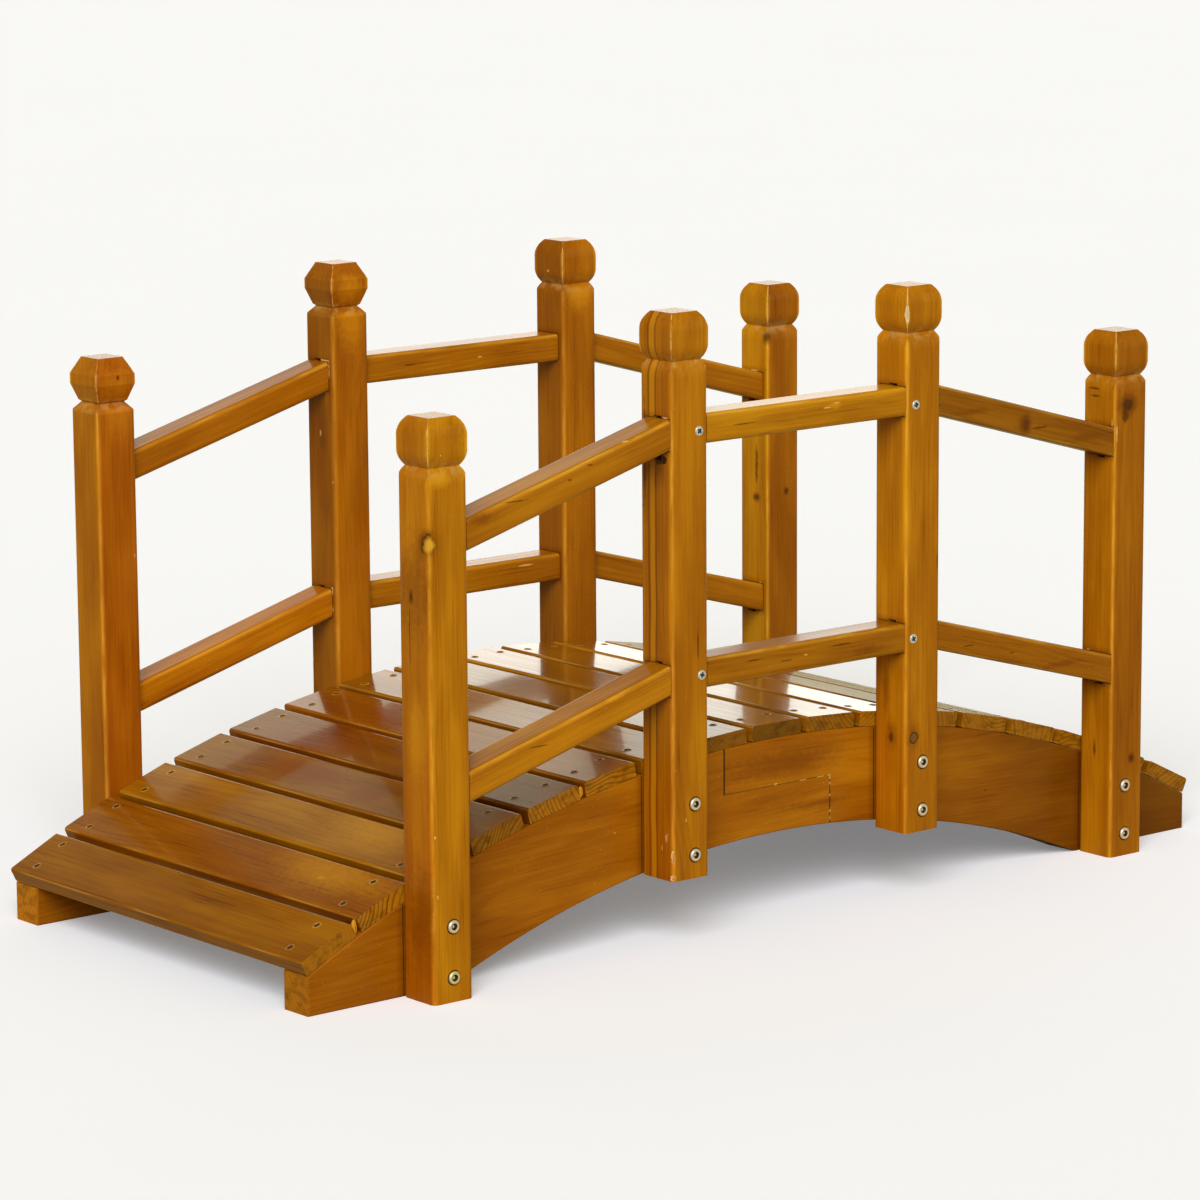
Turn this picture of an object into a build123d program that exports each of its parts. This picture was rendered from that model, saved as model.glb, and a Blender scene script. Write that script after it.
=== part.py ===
from build123d import *
import os
from math import asin, atan2, cos, degrees, sin, sqrt

os.makedirs("parts", exist_ok=True)

# Wooden garden moon bridge, in millimetres.
# X runs along the walkway, Y across it and Z up; the origin is on the ground under the middle.

# Side beams: two arched planks on edge
BEAM_LENGTH = 993.0
BEAM_THICKNESS = 33.0
BEAM_SPREAD = 420.0
CROWN_TOP = 155.2
END_HEIGHT = 32.6
CROWN_UNDERSIDE = 73.7
FOOT_LENGTH = 140.0
FOOT_ROUND = 12.0
BEAM_CHAMFER = 1.0

# Stepped half lap that joins the two lengths of a beam
LAP_LENGTH = 120.0

# Deck boards
BOARD_COUNT = 17
BOARD_WIDTH = 54.8
BOARD_THICKNESS = 13.2
BOARD_END_INSET = 1.0
BOARD_TOP_ROUND = 2.5
BOARD_UNDER_ROUND = 1.0
DECK_END_SETBACK = 0.3
DECK_SEAT_GAP = 0.2

# Posts, bolted to the outer faces of the beams
POST_WIDTH = 40.0
POST_EDGE_ROUND = 4.5
END_POST_SETBACK = 115.0
MID_POST_STATION = 131.0
END_POST_TOP = 472.3
MID_POST_TOP = 533.3

# Shaped post top: a domed cap over a V neck, all cut with one radius
CAP_HEIGHT = 39.6
CAP_FLAT = 26.6
NECK_WIDTH = 30.5

# Post top of the back left posts, sawn in flat faces with a deeper neck
SAWN_CAP_HEIGHT = 38.6
SAWN_CAP_FLAT = 25.6
SAWN_BROW_DROP = 14.4
SAWN_CHEEK_DROP = 23.0
SAWN_NECK_WIDTH = 26.0
SAWN_NECK_LIP = 1.4
SAWN_LIP_WIDTH = 30.0
SAWN_SHOULDER_DROP = 46.8

# Rails
RAIL_HEIGHT = 25.2
RAIL_DEPTH = 31.4
RAIL_EDGE_ROUND = 4.2
RAIL_INSET = 1.7
TOP_RAIL_AT_END_POST = 383.5
TOP_RAIL_AT_MID_POST = 452.4
TOP_RAIL_IN_MIDDLE = 448.6
LOWER_RAIL_DROP = 204.0

# Mortise and tenon joints
TENON_LENGTH = 18.0
TENON_WIDTH = 9.4
TENON_SHOULDER = 3.0
MORTISE_CLEARANCE = 0.3
SLOT_BELOW_RAIL = 8.0
SLOT_ABOVE_RAIL = 1.8

BEAM_END = BEAM_LENGTH / 2
BEAM_FACE = BEAM_SPREAD / 2
END_POST_STATION = BEAM_END - END_POST_SETBACK
POST_ROW = BEAM_FACE + POST_WIDTH / 2
RAIL_ROW = BEAM_FACE + POST_WIDTH - RAIL_INSET - RAIL_DEPTH / 2
RAIL_SLOPE = (TOP_RAIL_AT_MID_POST - TOP_RAIL_AT_END_POST) / (END_POST_STATION - MID_POST_STATION)

SIDES = {"front": -1, "back": 1}


def prism(outline, thickness):
    """Solid from an outline drawn in the XZ plane, centred on Y = 0."""
    face = make_face(Plane.XZ * outline)
    return extrude(face, amount=thickness / 2, both=True)


def polygon(points):
    """Closed outline through the given XZ points."""
    return Polyline(*points, close=True)


def long_edges(solid):
    """Edges that run straight across the bridge."""
    return solid.edges().filter_by(Axis.Y)


# Arcs of the side beams


def arc_radius(half_width, rise):
    """Radius of an arc that falls by rise at half its width."""
    return (half_width**2 + rise**2) / (2 * rise)


def arc_height(x, crown, radius):
    """Height of an arc about the bridge's middle line."""
    return crown - radius + sqrt(radius**2 - x**2)


FOOT_START = BEAM_END - FOOT_LENGTH
TOP_ARC_RADIUS = arc_radius(BEAM_END, CROWN_TOP - END_HEIGHT)
UNDER_ARC_RADIUS = arc_radius(FOOT_START, CROWN_UNDERSIDE)


# Posts


def domed_silhouette(foot, top):
    """Outline of a post seen square on: shaft, shoulder, V neck and domed cap."""
    half = POST_WIDTH / 2
    flat = CAP_FLAT / 2
    neck = NECK_WIDTH / 2
    neck_z = top - CAP_HEIGHT
    neck_rise = sqrt(half**2 - neck**2)
    shoulder_z = neck_z - neck_rise
    belly_z = neck_z + neck_rise
    dome_z = top - sqrt(half**2 - flat**2)
    neck_angle = degrees(atan2(neck_rise, neck))
    dome_angle = degrees(atan2(top - dome_z, flat))
    return Curve() + [
        Line((-half, foot), (half, foot)),
        Line((half, foot), (half, shoulder_z)),
        CenterArc((0, shoulder_z), half, 0, neck_angle),
        CenterArc((0, belly_z), half, -neck_angle, neck_angle),
        Line((half, belly_z), (half, dome_z)),
        CenterArc((0, dome_z), half, 0, dome_angle),
        Line((flat, top), (-flat, top)),
        CenterArc((0, dome_z), half, 180 - dome_angle, dome_angle),
        Line((-half, dome_z), (-half, belly_z)),
        CenterArc((0, belly_z), half, 180, neck_angle),
        CenterArc((0, shoulder_z), half, 180 - neck_angle, neck_angle),
        Line((-half, shoulder_z), (-half, foot)),
    ]


def sawn_silhouette(foot, top):
    """Outline of a post whose cap and neck are cut in straight lines."""
    right = [
        (POST_WIDTH / 2, foot),
        (POST_WIDTH / 2, top - SAWN_SHOULDER_DROP),
        (SAWN_NECK_WIDTH / 2, top - SAWN_CAP_HEIGHT),
        (SAWN_LIP_WIDTH / 2, top - SAWN_CAP_HEIGHT + SAWN_NECK_LIP),
        (POST_WIDTH / 2, top - SAWN_CHEEK_DROP),
        (POST_WIDTH / 2, top - SAWN_BROW_DROP),
        (SAWN_CAP_FLAT / 2, top),
    ]
    left = [(-x, z) for x, z in reversed(right)]
    return polygon(right + left)


def shaped_post(silhouette, foot, top, cap_height):
    """Post shaped on all four faces; its shaft edges are rounded and run out at the neck."""
    neck_z = top - cap_height
    across = prism(silhouette(foot, top), POST_WIDTH + 2)
    along = across.rotate(Axis.Z, 90)
    section = RectangleRounded(POST_WIDTH, POST_WIDTH, POST_EDGE_ROUND)
    shaft = Pos(0, 0, foot) * extrude(section, amount=neck_z - foot)
    cap = Pos(0, 0, (neck_z + top) / 2) * Box(POST_WIDTH, POST_WIDTH, cap_height)
    return across & along & (shaft + cap)


def plain_post(foot, top, sawn):
    """Post with a domed top, or with a sawn one."""
    if sawn:
        return shaped_post(sawn_silhouette, foot, top, SAWN_CAP_HEIGHT)
    return shaped_post(domed_silhouette, foot, top, CAP_HEIGHT)


def slot(x_from, x_to, z_from, z_to):
    """Mortise cutter on the rails' centre line, in bridge coordinates with Y measured outward."""
    size = (x_to - x_from, TENON_WIDTH + 2 * MORTISE_CLEARANCE, z_to - z_from)
    return Pos((x_from + x_to) / 2, RAIL_ROW, (z_from + z_to) / 2) * Box(*size)


def end_post_mortise(drop):
    """Blind mortise for a sloping rail, in the post at the right end."""
    face = END_POST_STATION - POST_WIDTH / 2
    tip = face + TENON_LENGTH
    top = sloping_rail_top(face) - drop - TENON_SHOULDER
    bottom = sloping_rail_top(tip) - drop - rail_drop(RAIL_SLOPE) + TENON_SHOULDER
    return slot(face - 1, tip + MORTISE_CLEARANCE, bottom - MORTISE_CLEARANCE, top + MORTISE_CLEARANCE)


def sloping_mortise(drop, slack_below):
    """Blind mortise for a sloping rail, in the right side of the mid post; any slack shows below the rail."""
    face = MID_POST_STATION + POST_WIDTH / 2
    tip = face - TENON_LENGTH
    top = sloping_rail_top(tip) - drop - TENON_SHOULDER
    bottom = sloping_rail_top(face) - drop - rail_drop(RAIL_SLOPE) + TENON_SHOULDER
    if slack_below > 0:
        bottom -= TENON_SHOULDER + slack_below
    return slot(tip - MORTISE_CLEARANCE, face + 1, bottom - MORTISE_CLEARANCE, top + MORTISE_CLEARANCE)


def level_mortise(drop, slack_above):
    """Blind mortise for a middle rail, in the left side of the mid post; any slack shows above the rail."""
    face = MID_POST_STATION - POST_WIDTH / 2
    tip = face + TENON_LENGTH
    top = TOP_RAIL_IN_MIDDLE - drop - TENON_SHOULDER
    bottom = TOP_RAIL_IN_MIDDLE - drop - RAIL_HEIGHT + TENON_SHOULDER
    if slack_above > 0:
        top += TENON_SHOULDER + slack_above
    return slot(face - 1, tip + MORTISE_CLEARANCE, bottom - MORTISE_CLEARANCE, top + MORTISE_CLEARANCE)


def end_post(sawn):
    """Post at the right end of the back row; it stands on the ground."""
    body = Pos(END_POST_STATION, POST_ROW, 0) * plain_post(0, END_POST_TOP, sawn)
    return body - end_post_mortise(0) - end_post_mortise(LOWER_RAIL_DROP)


def mid_post(sawn, slack_below, slack_above):
    """Post right of the middle in the back row; its foot is level with the beam's underside there."""
    foot = arc_height(MID_POST_STATION + POST_WIDTH / 2, CROWN_UNDERSIDE, UNDER_ARC_RADIUS)
    body = Pos(MID_POST_STATION, POST_ROW, 0) * plain_post(foot, MID_POST_TOP, sawn)
    body -= sloping_mortise(0, slack_below)
    body -= sloping_mortise(LOWER_RAIL_DROP, 0)
    body -= level_mortise(0, slack_above)
    return body - level_mortise(LOWER_RAIL_DROP, slack_above)


# Rails


def sloping_rail_top(x):
    """Height of the top of an outer top rail at a distance from the middle of the bridge."""
    return TOP_RAIL_AT_END_POST + (END_POST_STATION - x) * RAIL_SLOPE


def rail_drop(slope):
    """Upright thickness of a rail that runs at a slope."""
    return RAIL_HEIGHT * sqrt(1 + slope**2)


def rail(x_from, x_to, z_from, slope):
    """Rounded bar with plumb shoulders and a tenon at each end; z_from is its top at x_from."""
    depth = rail_drop(slope)

    def bar(x_a, x_b, margin):
        top_a = z_from + (x_a - x_from) * slope - margin
        top_b = z_from + (x_b - x_from) * slope - margin
        height = depth - 2 * margin
        return polygon([(x_a, top_a), (x_b, top_b), (x_b, top_b - height), (x_a, top_a - height)])

    body = prism(bar(x_from, x_to, 0), RAIL_DEPTH)
    edges = body.edges().filter_by(lambda e: abs((e @ 1 - e @ 0).Y) < 0.01 and abs((e @ 1 - e @ 0).X) > 1)
    body = fillet(edges, RAIL_EDGE_ROUND)
    tongue = prism(bar(x_from - TENON_LENGTH, x_to + TENON_LENGTH, TENON_SHOULDER), TENON_WIDTH)
    return Pos(0, RAIL_ROW, 0) * (body + tongue)


def sloping_rail(drop):
    """Rail of the right bay in the back row."""
    x_from = MID_POST_STATION + POST_WIDTH / 2
    x_to = END_POST_STATION - POST_WIDTH / 2
    return rail(x_from, x_to, sloping_rail_top(x_from) - drop, -RAIL_SLOPE)


def middle_rail(drop):
    """Level rail of the middle bay in the back row."""
    reach = MID_POST_STATION - POST_WIDTH / 2
    return rail(-reach, reach, TOP_RAIL_IN_MIDDLE - drop, 0)


# Side beams


def whole_beam():
    """Arched plank with flat feet, before it is divided at the lap."""
    outline = Curve() + [
        ThreePointArc((-BEAM_END, END_HEIGHT), (0, CROWN_TOP), (BEAM_END, END_HEIGHT)),
        Line((BEAM_END, END_HEIGHT), (BEAM_END, 0)),
        Line((BEAM_END, 0), (FOOT_START, 0)),
        ThreePointArc((FOOT_START, 0), (0, CROWN_UNDERSIDE), (-FOOT_START, 0)),
        Line((-FOOT_START, 0), (-BEAM_END, 0)),
        Line((-BEAM_END, 0), (-BEAM_END, END_HEIGHT)),
    ]
    beam = prism(outline, BEAM_THICKNESS)
    heels = long_edges(beam).filter_by(lambda e: abs(abs(e.center().X) - FOOT_START) < 1)
    beam = fillet(heels, FOOT_ROUND)
    rims = beam.edges().filter_by(lambda e: abs((e @ 1 - e @ 0).Y) < 0.01)
    return chamfer(rims, BEAM_CHAMFER)


def left_of_lap():
    """Region of the left length: all of it left of the lap, and the lower half of the lap."""
    end = BEAM_END + 1
    lap = LAP_LENGTH / 2
    step = (CROWN_TOP + CROWN_UNDERSIDE) / 2
    roof = CROWN_TOP + 1
    points = [(-end, -1), (lap, -1), (lap, step), (-lap, step), (-lap, roof), (-end, roof)]
    return prism(polygon(points), BEAM_THICKNESS + 2)


# Deck boards


def board_pitch():
    """Distance along the beams' top arc from one board to the next, with the end boards at the beam ends."""
    half_arc = TOP_ARC_RADIUS * asin(BEAM_END / TOP_ARC_RADIUS)
    return (half_arc - DECK_END_SETBACK - BOARD_WIDTH / 2) / ((BOARD_COUNT - 1) / 2)


def deck_board(index):
    """Board laid flat on the arc; index 0 is the middle one."""
    tilt = index * board_pitch() / TOP_ARC_RADIUS
    board = Box(BOARD_WIDTH, BEAM_SPREAD - 2 * BOARD_END_INSET, BOARD_THICKNESS)
    upper = long_edges(board).group_by(Axis.Z)[-1]
    board = fillet(upper, BOARD_TOP_ROUND)
    lower = long_edges(board).group_by(Axis.Z)[0]
    board = fillet(lower, BOARD_UNDER_ROUND)
    reach = TOP_ARC_RADIUS + DECK_SEAT_GAP + BOARD_THICKNESS / 2
    centre_z = CROWN_TOP - TOP_ARC_RADIUS
    return Pos(reach * sin(tilt), 0, centre_z + reach * cos(tilt)) * Rot(0, degrees(tilt), 0) * board


# Write every piece


def save(shape, name):
    export_step(shape, f"parts/{name}.step")


def placed(shape, side, end):
    """Copy of a piece of the back right quarter, mirrored to another side or end."""
    if side < 0:
        shape = mirror(shape, Plane.XZ)
    if end < 0:
        shape = mirror(shape, Plane.YZ)
    return shape


SAWN_TOPS = [("back", "left")]
LONG_SLOTS_BELOW = {("front", "left"): SLOT_BELOW_RAIL}
LONG_SLOTS_ABOVE = {("front", "right"): SLOT_ABOVE_RAIL}

BEAM = whole_beam()
BEAM_LEFT = BEAM & left_of_lap()
BEAM_RIGHT = BEAM - left_of_lap()
BEAM_ROW = BEAM_FACE - BEAM_THICKNESS / 2

for side_name, side in SIDES.items():
    for end_name, end in {"left": -1, "right": 1}.items():
        corner = (side_name, end_name)
        sawn = corner in SAWN_TOPS
        middle = mid_post(sawn, LONG_SLOTS_BELOW.get(corner, 0), LONG_SLOTS_ABOVE.get(corner, 0))
        save(placed(end_post(sawn), side, end), f"{side_name}_{end_name}_end_post")
        save(placed(middle, side, end), f"{side_name}_{end_name}_mid_post")
        save(placed(sloping_rail(0), side, end), f"{side_name}_{end_name}_top_rail")
        save(placed(sloping_rail(LOWER_RAIL_DROP), side, end), f"{side_name}_{end_name}_lower_rail")
    save(placed(middle_rail(0), side, 1), f"{side_name}_middle_top_rail")
    save(placed(middle_rail(LOWER_RAIL_DROP), side, 1), f"{side_name}_middle_lower_rail")
    save(Pos(0, side * BEAM_ROW, 0) * BEAM_LEFT, f"{side_name}_beam_left_half")
    save(Pos(0, side * BEAM_ROW, 0) * BEAM_RIGHT, f"{side_name}_beam_right_half")

for number in range(1, BOARD_COUNT + 1):
    save(deck_board(number - (BOARD_COUNT + 1) / 2), f"deck_board_{number:02d}")
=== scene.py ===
import random
from math import cos, pi, radians, sin, sqrt

import bpy
from mathutils import Matrix, Vector


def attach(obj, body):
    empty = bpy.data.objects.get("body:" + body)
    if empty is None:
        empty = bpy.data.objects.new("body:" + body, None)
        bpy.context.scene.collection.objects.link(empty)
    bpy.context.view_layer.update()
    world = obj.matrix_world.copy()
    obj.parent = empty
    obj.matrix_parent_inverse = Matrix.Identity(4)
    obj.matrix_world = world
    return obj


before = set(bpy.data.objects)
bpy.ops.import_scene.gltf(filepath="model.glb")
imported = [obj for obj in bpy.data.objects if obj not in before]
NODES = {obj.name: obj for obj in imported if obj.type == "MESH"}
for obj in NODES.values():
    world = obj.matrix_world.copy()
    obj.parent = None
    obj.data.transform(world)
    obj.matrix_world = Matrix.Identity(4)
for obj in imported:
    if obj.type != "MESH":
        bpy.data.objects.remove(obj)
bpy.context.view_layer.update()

# Sizes shared with the timber model, in millimetres
POST = 40.0
POST_ROW = 230.0
END_X = 381.5
MID_X = 131.0
END_TOP = 472.3
MID_TOP = 533.3
CAP = 39.6
FACE = 250.0
BEAM_Y = 193.5
BEAM_FACE = 210.0
BEAM_THICK = 33.0
ARC_R = 1066.652
CROWN = 155.2
BOARD_COUNT = 17
MIDDLE_BOARD = 9
BOARD_W = 54.8
BOARD_T = 13.2
BOARD_HALF = 209.0
PITCH = 61.0928
SEAT = 0.2
RAIL_H = 25.2
RAIL_D = 31.4
RAIL_SETBACK = 1.7
RAIL_ROW = FACE - RAIL_SETBACK - RAIL_D / 2
RAIL_DROP = 204.0  # from the top rails to the lower ones
LEVEL_TOP = 448.6  # top of the middle rail
SLOPE_LOW = 383.5  # top of a sloping rail at the middle of its end post
SLOPE = (452.4 - SLOPE_LOW) / (END_X - MID_X)
BAY_X = 256.0  # middle of the bays with sloping rails
LAP_Z = (CROWN + 73.7) / 2
LAP_HALF = 60.0
UP = (0, 0, 1)
ALONG_X = (1, 0, 0)
ALONG_Y = (0, 1, 0)

# Camera of the photo
CAMERA_AT = (-2.748995, -3.298812, 1.048451)
CAMERA_AIM = (-39.5939, 10.5991, -0.3946)  # azimuth, elevation and roll in degrees
FOCAL = 4983.126  # in pixels of the photo
PHOTO = 1200.0  # width of the photo in pixels
SENSOR = 36.0


# Camera, lights and floor


def toward(azimuth, elevation):
    """Direction to a place in degrees; azimuth 0 is the front side and 90 the right end."""
    a, e = radians(azimuth), radians(elevation)
    return Vector((sin(a) * cos(e), -cos(a) * cos(e), sin(e)))


def make_camera():
    azimuth, elevation, roll = CAMERA_AIM
    a, r = radians(azimuth), radians(roll)
    back = toward(azimuth, elevation)
    right = Vector((cos(a), sin(a), 0.0))
    up = back.cross(right)
    x = right * cos(r) + up * sin(r)
    y = up * cos(r) - right * sin(r)
    data = bpy.data.cameras.new("camera")
    data.lens = FOCAL / PHOTO * SENSOR
    data.sensor_width = SENSOR
    data.clip_start, data.clip_end = 0.1, 200.0
    cam = bpy.data.objects.new("camera", data)
    bpy.context.scene.collection.objects.link(cam)
    cam.matrix_world = Matrix((*((x[i], y[i], back[i], CAMERA_AT[i]) for i in range(3)), (0.0, 0.0, 0.0, 1.0)))
    bpy.context.scene.camera = cam


def sun(name, azimuth, elevation, strength, angle):
    """Soft parallel light."""
    data = bpy.data.lights.new(name, "SUN")
    data.energy = strength
    data.angle = radians(angle)
    lamp = bpy.data.objects.new(name, data)
    lamp.rotation_mode = "QUATERNION"
    lamp.rotation_quaternion = (-toward(azimuth, elevation)).to_track_quat("-Z", "Y")
    bpy.context.scene.collection.objects.link(lamp)


def make_world():
    """A white screen far behind the bridge, a dimmer one at its right, and a dim, warm room."""
    world = bpy.data.worlds.new("studio")
    bpy.context.scene.world = world
    world.use_nodes = True
    t = Tree(tree=world.node_tree)
    aim = t.t.nodes.new("ShaderNodeTexCoord").outputs["Generated"]
    x, _, z = t.split(aim)
    facing = t.vec("DOT_PRODUCT", aim, (0.64, 0.77, 0.0))
    screen = t.mul(t.remap(facing, 0.35, 0.85), 1.65)
    right = t.mul(t.remap(x, -0.2, 0.6), 0.30)
    band = t.remap(z, 0.24, 0.62, 1.0, 0.0)
    room = t.remap(facing, 0.25, -0.45, 0.09, 0.46)
    strength = t.add(t.mul(t.add(screen, right), band), room)
    white = t.mul(t.remap(facing, 0.2, 0.7), band)
    light = t.t.nodes.new("ShaderNodeBackground")
    t.put(light.inputs["Color"], t.mixc(white, (1.0, 0.90, 0.50, 1.0), (1.0, 0.98, 0.88, 1.0)))
    t.put(light.inputs["Strength"], strength)
    t.put(t.t.nodes.new("ShaderNodeOutputWorld").inputs["Surface"], light.outputs[0])


def make_floor():
    """Pale floor that throws only dim, warm light back at the wood."""
    mesh = bpy.data.meshes.new("floor")
    s = 60.0
    mesh.from_pydata([(-s, -s, 0), (s, -s, 0), (s, s, 0), (-s, s, 0)], [], [(0, 1, 2, 3)])
    floor = bpy.data.objects.new("floor", mesh)
    bpy.context.scene.collection.objects.link(floor)
    t = Tree("floor_pale")
    pale = t.mixc(t.noise(t.coords(), 2.0, 3.0), (0.86, 0.880, 0.98, 1.0), (0.88, 0.900, 1.0, 1.0))
    seen = t.t.nodes.new("ShaderNodeLightPath").outputs["Is Camera Ray"]
    t.finish(t.mixc(seen, (0.41, 0.35, 0.17, 1.0), pale), 0.9, None, ior=1.1)
    shader = next(n for n in t.t.nodes if n.type == "BSDF_PRINCIPLED")
    t.put(shader.inputs["Emission Color"], t.mixc(seen, (0.0, 0.0, 0.0, 1.0), (0.9, 0.91, 0.94, 1.0)))
    shader.inputs["Emission Strength"].default_value = 0.20
    mesh.materials.append(t.mat)


# Node trees


class Tree:
    """Short hands for building the nodes of a new material, or of a given tree."""

    def __init__(self, name="", tree=None):
        if tree is None:
            self.mat = bpy.data.materials.new(name)
            self.mat.use_nodes = True
            tree = self.mat.node_tree
        self.t = tree
        self.t.nodes.clear()

    def put(self, socket, value):
        if isinstance(value, bpy.types.NodeSocket):
            self.t.links.new(value, socket)
        else:
            socket.default_value = value

    def coords(self):
        return self.t.nodes.new("ShaderNodeTexCoord").outputs["Object"]

    def math(self, op, a, b=0.0, c=0.0):
        n = self.t.nodes.new("ShaderNodeMath")
        n.operation = op
        for socket, value in zip(n.inputs, (a, b, c)):
            self.put(socket, value)
        return n.outputs[0]

    def mul(self, a, b):
        return self.math("MULTIPLY", a, b)

    def add(self, a, b):
        return self.math("ADD", a, b)

    def sub(self, a, b):
        return self.math("SUBTRACT", a, b)

    def abs(self, a):
        return self.math("ABSOLUTE", a)

    def vec(self, op, a, b=None, scale=None):
        n = self.t.nodes.new("ShaderNodeVectorMath")
        n.operation = op
        self.put(n.inputs[0], a)
        if b is not None:
            self.put(n.inputs[1], b)
        if scale is not None:
            self.put(n.inputs["Scale"], scale)
        return n.outputs["Value" if op in ("DOT_PRODUCT", "LENGTH") else "Vector"]

    def join(self, x, y, z):
        n = self.t.nodes.new("ShaderNodeCombineXYZ")
        for socket, value in zip(n.inputs, (x, y, z)):
            self.put(socket, value)
        return n.outputs[0]

    def split(self, v):
        n = self.t.nodes.new("ShaderNodeSeparateXYZ")
        self.put(n.inputs[0], v)
        return n.outputs

    def noise(self, v, scale=1.0, detail=2.0, rough=0.5, colour=False):
        n = self.t.nodes.new("ShaderNodeTexNoise")
        self.put(n.inputs["Vector"], v)
        for key, value in (("Scale", scale), ("Detail", detail), ("Roughness", rough), ("Distortion", 0.0)):
            n.inputs[key].default_value = value
        return n.outputs["Color" if colour else "Fac"]

    def field(self, v, scale, detail=1.0, rough=0.5, colour=False):
        """Noise over a place times one number, or times three to stretch it."""
        even = isinstance(scale, float)
        spot = self.vec("SCALE", v, scale=scale) if even else self.vec("MULTIPLY", v, scale)
        return self.noise(spot, 1.0, detail, rough, colour)

    def remap(self, x, a, b, c=0.0, d=1.0):
        """Smooth step from c at a to d at b."""
        n = self.t.nodes.new("ShaderNodeMapRange")
        n.interpolation_type = "SMOOTHSTEP"
        for key, value in (("Value", x), ("From Min", a), ("From Max", b), ("To Min", c), ("To Max", d)):
            self.put(n.inputs[key], value)
        return n.outputs["Result"]

    def mixc(self, f, a, b, blend="MIX"):
        n = self.t.nodes.new("ShaderNodeMix")
        n.data_type = "RGBA"
        n.blend_type = blend
        for key, value in (("Factor", f), (6, a), (7, b)):
            self.put(n.inputs[key], value)
        return n.outputs[2]

    def normal_along(self, axis):
        """How squarely the surface faces along an axis, either way."""
        n = self.t.nodes.new("ShaderNodeNewGeometry")
        return self.abs(self.vec("DOT_PRODUCT", n.outputs["True Normal"], tuple(axis)))

    def finish(self, colour, rough, height, ior=1.45, metallic=0.0, coat=0.0, coat_rough=0.1, coat_ior=1.4,
               bump=0.5, depth=0.0003):
        b = self.t.nodes.new("ShaderNodeBsdfPrincipled")
        self.put(b.inputs["Base Color"], colour)
        self.put(b.inputs["Roughness"], rough)
        for key, value in (("IOR", ior), ("Metallic", metallic), ("Coat Weight", coat),
                           ("Coat Roughness", coat_rough), ("Coat IOR", coat_ior)):
            b.inputs[key].default_value = value
        if height is not None:
            n = self.t.nodes.new("ShaderNodeBump")
            n.inputs["Strength"].default_value = bump
            n.inputs["Distance"].default_value = depth
            self.put(n.inputs["Height"], height)
            self.put(b.inputs["Normal"], n.outputs["Normal"])
        out = self.t.nodes.new("ShaderNodeOutputMaterial")
        self.put(out.inputs["Surface"], b.outputs[0])
        return self.mat


# Stained and varnished fir

LIGHT = (0.50, 0.196, 0.004)
MIDDLE = (0.345, 0.112, 0.0015)
DARK = (0.150, 0.038, 0.0008)
END_LIGHT = (0.50, 0.190, 0.004)
END_DARK = (0.085, 0.025, 0.0008)
KNOT = (0.055, 0.018, 0.004)
BARE = (0.80, 0.60, 0.36)


def tint(c, k):
    """Colour times a number or times three numbers, with alpha."""
    ks = k if isinstance(k, tuple) else (k, k, k)
    return (*(min(a * b, 1.0) for a, b in zip(c, ks)), 1.0)


# How far a mark's outline wanders
RAGGED = {"knot": 0.7, "burl": 0.8, "ring_knot": 0.25, "streak": 0.9, "stain": 0.8, "flush": 0.9, "pale": 0.5,
          "chip": 1.3, "flake": 2.2, "hole": 0.9, "bead": 0.8}
# Marks of one colour: where it fades out, where it is full, how strong it is there, and the colour
SOFT_MARKS = {"streak": (1.0, 0.35, 0.72, tint(DARK, (0.42, 0.36, 0.6))),
              "stain": (1.1, 0.1, 0.55, tint(DARK, (1.0, 0.9, 1.0))),
              "flush": (1.1, 0.4, 0.55, tint(DARK, (1.3, 0.75, 0.6))),
              "pale": (1.0, 0.2, 0.55, tint(LIGHT, (1.25, 1.4, 1.6))),
              "bead": (1.0, 0.6, 0.75, (0.76, 0.47, 0.14, 1.0))}


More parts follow.
